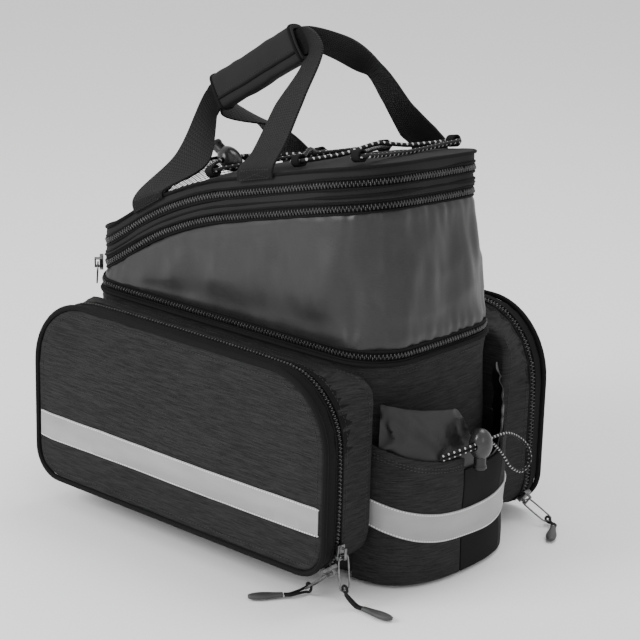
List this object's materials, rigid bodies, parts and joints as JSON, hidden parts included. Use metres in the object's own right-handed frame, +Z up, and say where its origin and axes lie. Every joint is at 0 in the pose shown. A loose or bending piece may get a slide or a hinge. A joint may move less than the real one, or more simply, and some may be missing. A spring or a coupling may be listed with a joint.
{
  "type": "bicycle trunk bag",
  "caption": "Soft rear-rack bag with a raised zip-out sleeve, sloping lid, side pouches, drawcord rear pocket, elastic lid lacing, net pocket and padded carry handle",
  "frame": {"origin": "on the floor under the middle of the lower body", "axes": "+X towards the rear pocket, +Y towards the far pouch, +Z up"},
  "size_m": [0.3616, 0.2895, 0.394],
  "materials": {
    "heathered_polyester": "dull",
    "dark_cloth": "dull",
    "charcoal_nylon": "satin",
    "zip_tape": "dull",
    "piping": "dull",
    "webbing": "dull",
    "grip_padding": "dull",
    "net": "dull",
    "elastic_cord": "dull",
    "reflective_tape": "satin",
    "lock_plastic": "satin",
    "zip_metal": "satin",
    "pull_rubber": "dull",
    "plunger_plastic": "satin"
  },
  "bodies": {
    "bag": {"body_shell": "heathered_polyester", "body_zip": "zip_tape", "bungee_cord": "elastic_cord", "bungee_loop_far_1": "webbing", "bungee_loop_far_2": "webbing", "bungee_loop_far_3": "webbing", "bungee_loop_near_1": "webbing", "bungee_loop_near_2": "webbing", "bungee_loop_near_3": "webbing", "expansion_sleeve": "charcoal_nylon", "far_pouch_back": "heathered_polyester", "far_pouch_face": "heathered_polyester", "far_pouch_floor": "dark_cloth", "far_pouch_piping": "piping", "far_pouch_reflector": "reflective_tape", "far_pouch_zip": "zip_tape", "far_pull_cord": "elastic_cord", "far_pull_end": "pull_rubber", "far_ring": "zip_metal", "far_slider": "zip_metal", "front_ring": "zip_metal", "front_slider": "zip_metal", "handle_grip": "grip_padding", "handle_strap_far": "webbing", "handle_strap_near": "webbing", "lid_band": "dark_cloth", "lid_cord_lock": "lock_plastic", "lid_lower_zip": "zip_tape", "lid_top": "dark_cloth", "lid_upper_zip": "zip_tape", "near_lower_pull_cord": "elastic_cord", "near_lower_pull_end": "pull_rubber", "near_lower_ring": "zip_metal", "near_lower_slider": "zip_metal", "near_pouch_back": "heathered_polyester", "near_pouch_face": "heathered_polyester", "near_pouch_floor": "dark_cloth", "near_pouch_piping": "piping", "near_pouch_reflector": "reflective_tape", "near_pouch_zip": "zip_tape", "near_upper_pull_cord": "elastic_cord", "near_upper_pull_end": "pull_rubber", "near_upper_ring": "zip_metal", "near_upper_slider": "zip_metal", "net_pocket": "net", "pocket_base": "dark_cloth", "pocket_collar": "charcoal_nylon", "pocket_cord_lock": "lock_plastic", "pocket_drawcord": "elastic_cord", "pocket_gusset": "dark_cloth", "pocket_left_panel": "heathered_polyester", "pocket_reflector": "reflective_tape", "pocket_right_panel": "heathered_polyester"},
    "lid_plunger": {"lid_cord_lock_plunger": "plunger_plastic"},
    "pocket_plunger": {"pocket_cord_lock_plunger": "plunger_plastic"}
  },
  "joints": [
    {"name": "lid_lock_press", "type": "slide", "parent": "bag", "child": "lid_plunger", "axis": [0.866, 0, -0.5], "range_m": [0, 0.004], "stiffness_N_per_m": 500, "springref_m": -0.004},
    {"name": "pocket_lock_press", "type": "slide", "parent": "bag", "child": "pocket_plunger", "axis": [0, 0, 1], "range_m": [0, 0.004], "stiffness_N_per_m": 500, "springref_m": -0.004}
  ]
}
